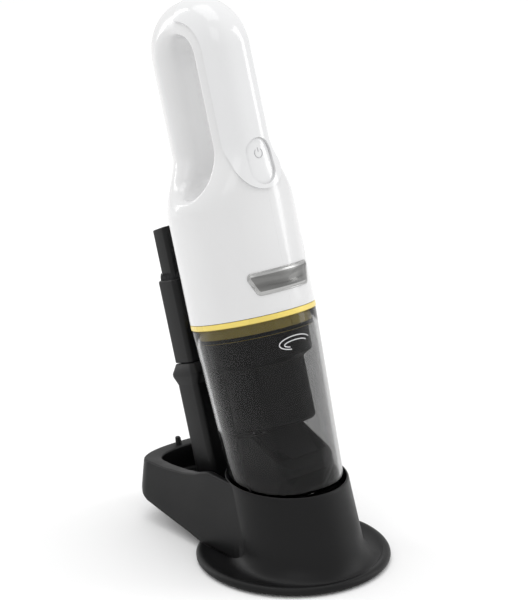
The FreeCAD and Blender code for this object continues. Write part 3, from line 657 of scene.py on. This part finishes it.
def holder_rows():
    """Tray of the tool holder: underside, rounded lower edge, wall, rounded rim, inner wall and floor."""
    count = 40
    bottom, top = keyhole(HOLDER_OUTSIDE, 5.0, count), keyhole(HOLDER_OUTSIDE, 40.0, count)
    inner = keyhole(HOLDER_INSIDE, 40.0, count, 2.0)
    inner_low = keyhole(HOLDER_INSIDE, 12.0, count, 2.0)
    spine_y = np.minimum(bottom[:, 1], 84.0)
    spine = np.stack([np.zeros(len(spine_y)), spine_y], 1)

    def row(plan, z):
        """The plan at height z."""
        return np.concatenate([plan, np.broadcast_to(np.asarray(z, float).reshape(-1, 1), (len(plan), 1))], 1)

    def taper(z):
        """The outside's plan at height z, between its bottom and its top."""
        t = ((z - 5.0) / 35.0)[:, None]
        return bottom * (1 - t) + top * t

    def inward(plan, d):
        """The plan drawn in by d across its own line."""
        ahead = np.gradient(plan, axis=0)
        normal = np.stack([-ahead[:, 1], ahead[:, 0]], 1) / np.linalg.norm(ahead, axis=1, keepdims=True)
        return plan + normal * d

    under = along_line(UNDER_LINE, bottom[:, 1])
    rim = along_line(RIM_LINE, top[:, 1])
    rim_inner = along_line(RIM_LINE, inner[:, 1])
    floor = along_line(FLOOR_LINE, inner_low[:, 1])
    rows = [row(spine, along_line(UNDER_LINE, spine[:, 1]))]
    for t in np.linspace(0, math.pi / 2, 5):
        z = under + 1.2 * (1 - math.cos(t))
        rows.append(row(inward(taper(z), 1.2 * (1 - math.sin(t))), z))
    for t in (0.25, 0.5, 0.75):
        z = under + 1.2 + (rim - 2.4 - under) * t
        rows.append(row(taper(z), z))
    for t in np.linspace(0, math.pi / 2, 6):
        z = rim - 1.2 * (1 - math.sin(t))
        rows.append(row(inward(taper(z), 1.2 * (1 - math.cos(t))), z))
    for t in np.linspace(0, math.pi / 2, 5):
        rows.append(row(inward(inner, -0.9 * (1 - math.sin(t))), rim_inner - 0.9 * (1 - math.cos(t))))
    for t in (0.35, 0.7):
        z = rim_inner * (1 - t) + floor * t
        rows.append(row(inner * (1 - t) + inner_low * t, z))
    for t in np.linspace(0, math.pi / 2, 4):
        rows.append(row(inward(inner_low, 2.0 * (1 - math.cos(t))), floor + 2.0 * (1 - math.sin(t))))
    rows.append(row(spine, along_line(FLOOR_LINE, spine[:, 1])))
    return np.stack(rows)


def peg_rows(count=24):
    """Small cone on the holder's rim, at its apex, with a rounded tip."""
    a = circle(count)
    profile = ((0.0, 33.0, -0.6), (2.0, 33.0, -0.6), (2.0, 35.8, 0.0), (1.6, 40.2, 1.1), (1.3, 40.7, 1.2),
               (0.0, 40.8, 1.2))
    return np.stack([np.stack([r * np.sin(a), PEG_Y + back + r * np.cos(a), np.full(count, z)], -1)
                     for r, z, back in profile])


def lean_cone_rows(r_low, r_high, z_low, z_high, count=128):
    """A closed leaning bar between two heights."""
    a = circle(count)
    low, high = level_round(r_low, z_low, a), level_round(r_high, z_high, a)
    ends = [np.broadcast_to(ring.mean(0), ring.shape) for ring in (low, high)]
    return np.stack([ends[0], low, high, ends[1]])


# ------------------------------------------------------------------ crevice tool
TOOL_Y, TOOL_TIP, TOOL_NECK = 53.0, 56.1, -104.0
TOOL_HALF_X, TOOL_HALF_Y = 14.0, 6.2
SLEEVE_FROM, SLEEVE_TO, COLLAR_FROM = -21.7, 26.4, -34.4
TIP_SLANT = -0.13


def flat_tube_rows(corners, steps=4, slant_from=None):
    """A closed outline of (growth, height, corner radius) carried round the tool's flat section.

    Growth widens the section's half depth and its half width by as much, up to 3 mm."""
    outline = rounded(corners, steps)
    rows = []
    for g, z in outline:
        half_x = TOOL_HALF_X + min(g, 3.0 + (g - 3.0) * 0.4)
        ring = rounded_rect(half_x, TOOL_HALF_Y + g, max(2.5 + (0.33 if g > 0 else 0.8) * g, 0.8), 7, TOOL_Y)
        tilt = TIP_SLANT * (ring[:, 1] - TOOL_Y) if slant_from is not None and z > slant_from else 0.0
        rows.append(np.column_stack([ring, np.full(len(ring), z) + tilt]))
    return np.stack(rows)


def tuft_rows(at, out, length, radius, spread):
    """One bristle tuft: three rings from its root, narrowing to its tip, leaning outwards."""
    a = circle(5)[:, None]
    rows = []
    for share, r in ((0.0, radius), (0.6, radius * 0.8), (1.0, radius * 0.25)):
        middle = at + out * spread * share ** 2 + np.array([0, 0, 1.0]) * length * share
        rows.append(middle + r * (np.cos(a) * (1, 0, 0) + np.sin(a) * (0, 1, 0)))
    rows.append(np.broadcast_to(rows[-1].mean(0), rows[-1].shape))
    return np.stack([np.broadcast_to(at, rows[0].shape)] + rows)


# ------------------------------------------------------------------ camera, floor and light
def aim(obj, target):
    """Turns an object's -Z axis at a point of the frame."""
    obj.rotation_euler = (Vector(target) - obj.location).to_track_quat("-Z", "Y").to_euler()


def make_camera():
    """Long lens from the front left and a little above."""
    azimuth, elevation = math.radians(-41.0), math.radians(19.29)
    distance = 1.3832
    data = bpy.data.cameras.new("camera")
    cam = add_object("camera", data)
    back = np.array([math.sin(azimuth) * math.cos(elevation), -math.cos(azimuth) * math.cos(elevation),
                     math.sin(elevation)])
    target = np.array([0, 0, 0.150])
    cam.location = target + back * distance
    aim(cam, target)
    data.sensor_width = 36.0
    data.lens = 151.944
    data.shift_x, data.shift_y = -0.04658, 0.00948
    data.clip_start, data.clip_end = 0.05, 20
    bpy.context.scene.camera = cam


def area_light(name, place, target, size, power):
    """A soft rectangular lamp at place, aimed at target."""
    data = bpy.data.lights.new(name, "AREA")
    data.shape = "RECTANGLE"
    data.size, data.size_y = size
    data.energy = power
    lamp = add_object(name, data)
    lamp.location = place
    aim(lamp, target)


def make_studio():
    """White surroundings, a plain pale floor and four soft lamps."""
    world = bpy.data.worlds.new("studio")
    world.use_nodes = True
    world.node_tree.nodes["Background"].inputs["Color"].default_value = (1, 1, 1, 1)
    world.node_tree.nodes["Background"].inputs["Strength"].default_value = 0.88
    bpy.context.scene.world = world
    bpy.context.scene.view_settings.view_transform = "Standard"
    spots = np.linspace(-6000, 6000, 3)
    sheet = np.stack(np.meshgrid(spots, spots, [0.0], indexing="ij"), -1)[:, :, 0]
    floor = piece("floor", (sheet, False, False), place=stand_axes)
    floor.data.materials.append(finish("floor_white", (0.90, 0.90, 0.90), 0.9, 0.005, 0.02, 2.0, 60, 0.00001))
    area_light("key", (-1.3, -1.0, 1.9), (0, 0.05, 0.15), (1.2, 1.2), 4.5)
    area_light("side", (1.6, -0.9, 1.0), (0, 0.05, 0.15), (0.5, 1.4), 8)
    area_light("top", (0.1, 0.5, 2.2), (0, 0.05, 0.15), (1.6, 1.6), 12)
    area_light("strip", (-0.5, 1.35, 0.75), (0, 0.05, 0.15), (0.14, 1.3), 4)


# ------------------------------------------------------------------ finishes
def finish(name, colour, roughness, tint=0.04, rough_spread=0.06, patch=45.0, grain=1500.0, bump=0.00002,
           stretch=(1.0, 1.0, 1.0), turn=0.0, pattern="noise", metallic=0.0, **sockets):
    """A finish whose colour and roughness drift in broad soft patches, with a fine raised grain.

    The colour runs between the given one darkened and lightened by tint, and the roughness between the given
    one less and plus rough_spread, both after a broad noise. The grain is noise, or cells for a woven or
    sintered look. stretch and turn lay the patterns along the piece. Even sockets are set on the shader."""
    mat = bpy.data.materials.new(name)
    mat.use_nodes = True
    nodes, links = mat.node_tree.nodes, mat.node_tree.links
    shader = nodes["Principled BSDF"]
    coords, lay = nodes.new("ShaderNodeTexCoord"), nodes.new("ShaderNodeMapping")
    links.new(coords.outputs["Object"], lay.inputs["Vector"])
    lay.inputs["Scale"].default_value = stretch
    lay.inputs["Rotation"].default_value = (turn, 0.0, 0.0)
    broad = nodes.new("ShaderNodeTexNoise")
    broad.inputs["Scale"].default_value = patch
    broad.inputs["Detail"].default_value = 4.0
    links.new(lay.outputs["Vector"], broad.inputs["Vector"])
    tone = nodes.new("ShaderNodeValToRGB")
    tone.color_ramp.elements[0].position, tone.color_ramp.elements[1].position = 0.3, 0.7
    tone.color_ramp.elements[0].color = (*(c * (1 - tint) for c in colour), 1)
    tone.color_ramp.elements[1].color = (*(min(c * (1 + tint), 1.0) for c in colour), 1)
    links.new(broad.outputs["Fac"], tone.inputs["Fac"])
    links.new(tone.outputs["Color"], shader.inputs["Base Color"])
    rough = nodes.new("ShaderNodeMapRange")
    rough.inputs["From Min"].default_value, rough.inputs["From Max"].default_value = 0.3, 0.7
    rough.inputs["To Min"].default_value = max(roughness - rough_spread, 0.0)
    rough.inputs["To Max"].default_value = min(roughness + rough_spread, 1.0)
    links.new(broad.outputs["Fac"], rough.inputs["Value"])
    links.new(rough.outputs["Result"], shader.inputs["Roughness"])
    if pattern == "cells":
        fine = nodes.new("ShaderNodeTexVoronoi")
        fine.feature = "DISTANCE_TO_EDGE"
        height = fine.outputs["Distance"]
    else:
        fine = nodes.new("ShaderNodeTexNoise")
        fine.inputs["Detail"].default_value = 2.0
        height = fine.outputs["Fac"]
    fine.inputs["Scale"].default_value = grain
    links.new(lay.outputs["Vector"], fine.inputs["Vector"])
    relief = nodes.new("ShaderNodeBump")
    relief.inputs["Distance"].default_value = bump
    relief.inputs["Strength"].default_value = 1.0
    links.new(height, relief.inputs["Height"])
    links.new(relief.outputs["Normal"], shader.inputs["Normal"])
    shader.inputs["Metallic"].default_value = metallic
    for key, value in sockets.items():
        shader.inputs[key.replace("_", " ")].default_value = value
    return mat


def make_finishes():
    """Every finish by its slot name in the record, and those of marks that no slot names."""
    black = dict(Specular_IOR_Level=0.2)
    return {
        "white_shell": finish("white_shell", (0.70, 0.70, 0.702), 0.20, 0.010, 0.04, 30, 260, 0.000012,
                              Coat_Weight=0.3, Coat_Roughness=0.08),
        "white_cover": finish("white_cover", (0.725, 0.727, 0.732), 0.17, 0.010, 0.04, 30, 300, 0.000010,
                              Coat_Weight=0.3, Coat_Roughness=0.06),
        "stand_plastic": finish("stand_plastic", (0.0045, 0.0045, 0.0048), 0.42, 0.12, 0.07, 35, 2600,
                                0.00005, **black),
        "tool_plastic": finish("tool_plastic", (0.0060, 0.0060, 0.0063), 0.36, 0.15, 0.08, 50, 1900,
                               0.00003, **black),
        "dark_plastic": finish("dark_plastic", (0.0065, 0.0065, 0.007), 0.36, 0.15, 0.08, 60, 1500,
                               0.000008, **black),
        "base_rubber": finish("base_rubber", (0.012, 0.012, 0.012), 0.82, 0.2, 0.08, 90, 3000, 0.00008,
                              **black),
        "seal_rubber": finish("seal_rubber", (0.015, 0.015, 0.016), 0.7, 0.2, 0.08, 120, 2600, 0.00004,
                              **black),
        "flap_rubber": finish("flap_rubber", (0.02, 0.02, 0.022), 0.6, 0.2, 0.08, 120, 2200, 0.00004,
                              **black),
        "ballast_steel": finish("ballast_steel", (0.34, 0.34, 0.35), 0.42, 0.12, 0.12, 60, 800, 0.00002,
                                (1, 12, 1), metallic=1.0),
        "screw_steel": finish("screw_steel", (0.45, 0.45, 0.46), 0.32, 0.1, 0.1, 400, 1800, 0.00001,
                              metallic=1.0),
        "smoked_clear": finish("smoked_clear", (0.42, 0.42, 0.42), 0.03, 0.02, 0.02, 40, 300, 0.000003,
                               Transmission_Weight=1.0, IOR=1.27),
        "yellow_plastic": finish("yellow_plastic", (0.80, 0.63, 0.15), 0.3, 0.05, 0.06, 60, 900, 0.00001),
        "filter_paper": finish("filter_paper", (0.62, 0.60, 0.54), 0.9, 0.10, 0.05, 220, 2600, 0.00012,
                               (1, 1, 0.25), -LEAN),
        "mesh_nylon": finish("mesh_nylon", (0.010, 0.010, 0.0105), 0.5, 0.25, 0.10, 140, 1300, 0.000012,
                             pattern="cells", **black),
        "badge_metal": finish("badge_metal", (0.40, 0.40, 0.395), 0.30, 0.25, 0.10, 55, 900, 0.00003,
                              (0.12, 1, 4.0), metallic=1.0, Anisotropic=0.5),
        "badge_field": finish("badge_field", (0.19, 0.19, 0.186), 0.34, 0.3, 0.10, 55, 900, 0.00003,
                              (0.12, 1, 4.0), metallic=1.0, Anisotropic=0.5),
        "bristle": finish("bristle", (0.016, 0.016, 0.017), 0.45, 0.3, 0.1, 400, 4000, 0.00002, **black),
        "motor_steel": finish("motor_steel", (0.50, 0.50, 0.52), 0.28, 0.08, 0.10, 90, 700, 0.00001,
                              (1, 1, 8), -LEAN, metallic=1.0),
        "cell_wrap": finish("cell_wrap", (0.06, 0.20, 0.45), 0.26, 0.06, 0.06, 70, 500, 0.00002),
        "contact_nickel": finish("contact_nickel", (0.62, 0.60, 0.56), 0.28, 0.08, 0.10, 300, 1500, 0.00001,
                                 metallic=1.0),
        "board_green": finish("board_green", (0.02, 0.16, 0.06), 0.38, 0.35, 0.08, 500, 1200, 0.00003,
                              pattern="cells"),
        "switch_black": finish("switch_black", (0.014, 0.014, 0.015), 0.5, 0.15, 0.08, 200, 2400,
                               0.00003, **black),
        "light_lens": finish("light_lens", (0.85, 0.90, 0.86), 0.25, 0.04, 0.05, 300, 1500, 0.00001,
                             Transmission_Weight=0.4),
        "fan_nylon": finish("fan_nylon", (0.045, 0.045, 0.048), 0.48, 0.15, 0.08, 90, 1400, 0.00003),
        "shaft_steel": finish("shaft_steel", (0.60, 0.60, 0.61), 0.16, 0.06, 0.06, 300, 1200, 0.000005,
                              (1, 1, 20), -LEAN, metallic=1.0),
        "button_mark": finish("button_mark", (0.46, 0.46, 0.47), 0.45, 0.05, 0.06, 300, 2000, 0.000005),
        "bin_mark": finish("bin_mark", (0.62, 0.62, 0.63), 0.38, 0.06, 0.08, 300, 2500, 0.00001,
                           metallic=0.6),
    }


# ------------------------------------------------------------------ pieces
def fit(obj, body, node, finish_name):
    """Puts a piece on its body in place of a CAD node, with its finish."""
    obj.data.materials.clear()
    obj.data.materials.append(finishes[finish_name])
    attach(obj, body)
    if node:
        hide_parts(node)
    return obj


def make_shells():
    """Both shells, with the cover's recess, the rear vents and the charging port's opening cut out."""
    for name, side in (("housing_left", -1), ("housing_right", 1)):
        half = shell(name, side)
        vents = []
        for step in (2, 3, 4, 5):
            a = math.radians(90 - side * step * 7.0)
            slot = capsule_outline(1.0, 26.0, 42.0)
            bar = prism(slot, 30.0, 41.0, 1)
            out, across = np.array([math.cos(a), math.sin(a), 0]), np.array([-math.sin(a), math.cos(a), 0])
            points = bar[..., 1:2] * out + bar[..., 0:1] * across + bar[..., 2:3] * (0, 0, 1)
            vents.append((points, False, True))
        opening = prism(port_outline(0.35), 20.0, 45.0, 1)
        recess = cover_patch(0.14, 3.0, 4.0)
        cutter = piece("cutter", (recess, False, True), (opening, False, True), *vents)
        fit(cut_by(half, cutter, sharp=40), "motor_unit", name, "white_shell")


def capsule_outline(half, low, high, steps=10):
    """Outline of a capsule standing along z."""
    a = np.linspace(0, math.pi, steps)
    top = np.stack([half * np.cos(a), high - half + half * np.sin(a)], 1)
    low_end = np.stack([-half * np.cos(a), low + half - half * np.sin(a)], 1)
    return np.concatenate([top, low_end])


PORT_HALF, PORT_LOW, PORT_HIGH = 5.5, 84.0, 99.0
PIN_Y, PIN_UP, PIN_R = 29.75, 98.3, 0.7


def port_outline(grow, top=None):
    """Opening of the charging port: round below, square above."""
    half, high = PORT_HALF + grow, (PORT_HIGH if top is None else top) + grow
    a = np.linspace(math.pi, 2 * math.pi, 15)
    centre = PORT_LOW - grow + half
    return np.concatenate([np.stack([half * np.cos(a), centre + half * np.sin(a)], 1),
                           [[half, high - 0.6], [half - 0.3, high], [0.3 - half, high], [-half, high - 0.6]]])


def on_rear(x, z, lift=0.0):
    """Points on the rear of the outside, x from the middle at height z, lifted off it by lift."""
    low, high = np.full_like(x, math.pi / 2), np.full_like(x, math.pi)
    for _ in range(40):
        mid = (low + high) / 2
        wide = np.abs(skin(z, mid)[..., 0]) > np.abs(x)
        low, high = np.where(wide, mid, low), np.where(wide, high, mid)
    return skin(z, np.copysign((low + high) / 2, x), -lift)


def make_port_cover():
    """Curved plate that follows the handle, a knuckle round the hinge pin, and a finger lip."""
    outline = port_outline(0.0, PIN_UP)
    middle = outline.mean(0)
    rows = [middle + (outline - middle) * k for k in (0.0, 0.5, 0.9, 0.96, 0.985, 1.0, 1.0, 0.0)]
    lifts = np.array([0, 0, 0, -0.02, -0.1, -0.3, -1.4, -1.4])[:, None]
    rows = np.stack(rows)
    plate = on_rear(rows[..., 0], rows[..., 1], np.broadcast_to(lifts, rows.shape[:2]))
    pin = tube_rows(np.array([[x, PIN_Y, PIN_UP] for x in np.linspace(-PORT_HALF, PORT_HALF, 5)]), PIN_R, 20)
    x = np.linspace(-10.0, 10.0, 31)
    width = 0.9 * np.sqrt(np.maximum(1 - (x / 10.4) ** 4, 0))
    a = circle(14)
    z = 87.5 + 0.9 * np.sin(a)[None, :] * np.ones((31, 1))
    lift = 0.55 + width[:, None] * np.cos(a)[None, :]
    lip = on_rear(np.broadcast_to(x[:, None], z.shape).copy(), z, lift)
    lip = np.concatenate([np.broadcast_to(lip[:1].mean(1, keepdims=True), lip[:1].shape), lip,
                          np.broadcast_to(lip[-1:].mean(1, keepdims=True), lip[:1].shape)])
    cover = piece("port_cover", (plate, False, True), (pin, False, True), (lip, False, True))
    fit(cover, "port_cover", "port_cover", "white_cover")


def make_front():
    """Grip cover with the button's opening, the button, its mark, and the blank plate."""
    cover = piece("grip_cover", (cover_patch(0.0, 0.0, 1.5, 0.35), False, True), sharp=50)
    slit = 0.22
    opening = capsule_outline(BUTTON_HALF + slit, BUTTON_FROM - slit, BUTTON_TO + slit, 40)
    hole = prism(opening, -60.0, -18.0, 1)
    cover = cut_by(cover, piece("cutter", (hole, False, True)), sharp=50)
    fit(cover, "motor_unit", "grip_cover", "white_cover")
    top = capsule_patch(edge_profile(BUTTON_HALF, 0.1, 0.5, 3.0), on_front)
    fit(piece("power_button", (top, False, True), sharp=50), "power_button", "power_button", "white_cover")
    ring_z, ring_r = 88.6, 2.6
    a = np.linspace(math.radians(40), math.radians(320), 40)
    ring = on_front(ring_r * np.sin(a), ring_z + ring_r * np.cos(a), 0.1)
    line_z = np.linspace(ring_z + 0.6, ring_z + ring_r + 0.5, 6)
    line = on_front(np.zeros(6), line_z, 0.1)
    mark = piece("button_mark", (tube_rows(ring, 0.26), False, True), (tube_rows(line, 0.26), False, True))
    fit(mark, "power_button", None, "button_mark")
    plate = piece("badge_plate", (badge_rows(), False, True), sharp=45)
    fit(plate, "motor_unit", "badge_plate", "badge_metal")
    field = piece("badge_field", (badge_field_rows(), False, True), sharp=45)
    fit(field, "motor_unit", None, "badge_field")


def make_bin():
    """Clear bin, and a plain two-stroke flash on its front."""
    shell_rows = bin_rows()
    fit(piece("bin_shell", (shell_rows, True, True), sharp=60), "bin", "bin_shell", "smoked_clear")
    strokes = []
    for z_mid, reach, rise, start, stop in ((-16.5, 10.5, 3.6, 20, 250), (-17.0, 7.5, 1.8, 15, 235)):
        a = np.radians(np.linspace(start, stop, 48))
        arc, z = -1.5 + reach * np.cos(a), z_mid + rise * np.sin(a)
        r = BIN_TOP_R + (BIN_LOW_R - BIN_TOP_R) * (BIN_RIM - z) / (BIN_RIM - BIN_FLOOR - BIN_ROUND) + 0.02
        strokes.append(np.stack([r * np.sin(arc / r), -r * np.cos(arc / r), z], 1))
    flash = piece("bin_flash", *((tube_rows(path, 0.32, 6), False, True) for path in strokes))
    fit(flash, "bin", None, "bin_mark")


def make_filter_parts():
    """Ring with its catches and the upper part of the filter, turned with rounded edges."""
    ring = turned_rows([(26.0, -10.0, 0.3), (32.3, -10.0, 0.5), (32.5, -1.5, 0.3), (BODY_R, -1.5, 0.4),
                        (BODY_R, 1.5, 0.4), (26.0, 1.5, 0.3)], 160)
    catches = [(block((-2.75, 2.75), (-32.95, -31.35), (-6.8, -2.2), 0.4, math.radians(t)), False, True)
               for t in (4, 124, 244)]
    carrier = piece("filter_carrier", (ring, True, True), *catches)
    fit(carrier, "filter_unit", "filter_carrier", "yellow_plastic")
    upper = turned_rows([(17.0, 1.2, 0.4), (17.0, -24.0, 1.0), (18.0, -27.0, 0.6), (23.4, -27.0, 0.6),
                         (28.5, -24.0, 1.2), (29.2, -10.2, 0.4), (25.8, -10.2, 0.2), (25.8, 1.2, 0.4)], 128)
    fit(piece("filter_housing", (upper, True, True)), "filter_unit", "filter_housing", "dark_plastic")


def make_stand():
    """Cup and flange, the holder's tray cut to the cup's wall and joined to it, its peg and its spigot."""
    body = piece("stand_body", (cup_rows(), False, True), place=stand_axes, sharp=40)
    tray = piece("tray", (holder_rows(), False, True), place=stand_axes)
    low, high, overlap = -4.0, 60.0, 1.0
    core = lean_cone_rows(cup_radius(low) - overlap, cup_radius(high) - overlap, low, high)
    cone = piece("cone", (core, False, True), place=stand_axes)
    cut_by(tray, cone)
    cut_by(body, tray, "UNION", 30)
    cut_by(body, piece("peg", (peg_rows(), False, True), place=stand_axes), "UNION", 30)
    spigot = block((-8.0, 8.0), (TOOL_Y - 3.2, TOOL_Y + 3.2), (TOOL_NECK - 7.0, TOOL_NECK + 22.0), 1.6)
    fit(body, "stand", "stand_body", "stand_plastic")
    fit(piece("holder_spigot", (spigot, False, True), sharp=40), "stand", None, "stand_plastic")


def make_tool():
    """Crevice tube with its collar and neck, brush sleeve, catch and bristles."""
    low, high = COLLAR_FROM, SLEEVE_FROM - 0.6
    tube = flat_tube_rows([
        (3.2, TOOL_NECK, 0.5), (3.2, low, 0.8), (5.9, -29.4, 1.0), (5.9, -27.8, 1.2), (2.3, high, 0.6),
        (0.0, high, 0.3), (0.0, TOOL_TIP, 0.6), (-1.5, TOOL_TIP, 0.3), (-1.5, low + 1, 0.2), (1.2, low, 0.2),
        (1.2, TOOL_NECK, 0.3)], 4, 30.0)
    fit(piece("crevice_tube", (tube, True, True), sharp=40), "crevice_tool", "crevice_tube", "tool_plastic")
    sleeve = flat_tube_rows([(0.3, SLEEVE_FROM, 0.2), (2.3, SLEEVE_FROM, 0.5), (2.3, SLEEVE_TO, 1.2),
                             (0.3, SLEEVE_TO, 0.3)], 5)
    sleeve = piece("brush_sleeve", (sleeve, True, True), sharp=40)
    slot = prism(capsule_outline(5.35, -6.35, 14.35, 16), TOOL_Y + 6.75, TOOL_Y + 20, 1)
    sleeve = cut_by(sleeve, piece("cutter", (slot, False, True)), sharp=40)
    fit(sleeve, "brush", "brush_sleeve", "tool_plastic")
    rows = []
    catch_up, catch_straight = 4.0, 5.0
    for half, y in ((0.0, 9.6), (2.5, 9.6), (4.2, 9.6), (4.7, 9.4), (5.0, 8.9), (5.0, 7.4), (0.0, 7.4)):
        reach = catch_straight + half
        outline = capsule_outline(max(half, 0.001), catch_up - reach, catch_up + reach, 16)
        rows.append(np.column_stack([outline[:, 0], np.full(len(outline), TOOL_Y + y), outline[:, 1]]))
    ridges = [(tube_rows(np.array([[-3.4, TOOL_Y + 9.6, h], [3.4, TOOL_Y + 9.6, h]]), 0.35, 8), False, True)
              for h in (0.0, 2.5, 5.0, 7.5)]
    catch = piece("brush_catch", (np.stack(rows), False, True), *ridges)
    fit(catch, "brush_catch", "brush_catch", "tool_plastic")
    around = rounded_rect(TOOL_HALF_X + 0.9, TOOL_HALF_Y + 0.9, 2.8, 7, TOOL_Y)
    steps = np.linalg.norm(np.roll(around, -1, 0) - around, axis=1)
    far = np.concatenate([[0], np.cumsum(steps)])
    spots = np.linspace(0, far[-1], 90, endpoint=False)
    closed = np.concatenate([around, around[:1]])
    at = np.stack([np.interp(spots, far, closed[:, k]) for k in (0, 1)], 1)
    out = at - (0, TOOL_Y)
    out = out / np.linalg.norm(out, axis=1, keepdims=True)
    tufts = []
    for k, (p, o) in enumerate(zip(at, out)):
        root = np.array([p[0], p[1], SLEEVE_TO - 0.5])
        length = 4.4 + 0.3 * math.sin(k * 2.4)
        tufts.append((tuft_rows(root, np.array([o[0], o[1], 0]), length, 0.42, -0.5), False, True))
    fit(piece("brush_bristles", *tufts, sharp=70), "brush", "brush_bristles", "bristle")


make_camera()
make_studio()
finishes = make_finishes()
slot_of = {part["node"]: part["material_slot"] for part in frame["record"]["subparts"]}
for node, obj in frame["nodes"].items():
    for i in range(len(obj.material_slots)):
        obj.material_slots[i].material = finishes[slot_of[node]]
make_shells()
make_port_cover()
make_front()
make_bin()
make_filter_parts()
make_stand()
make_tool()
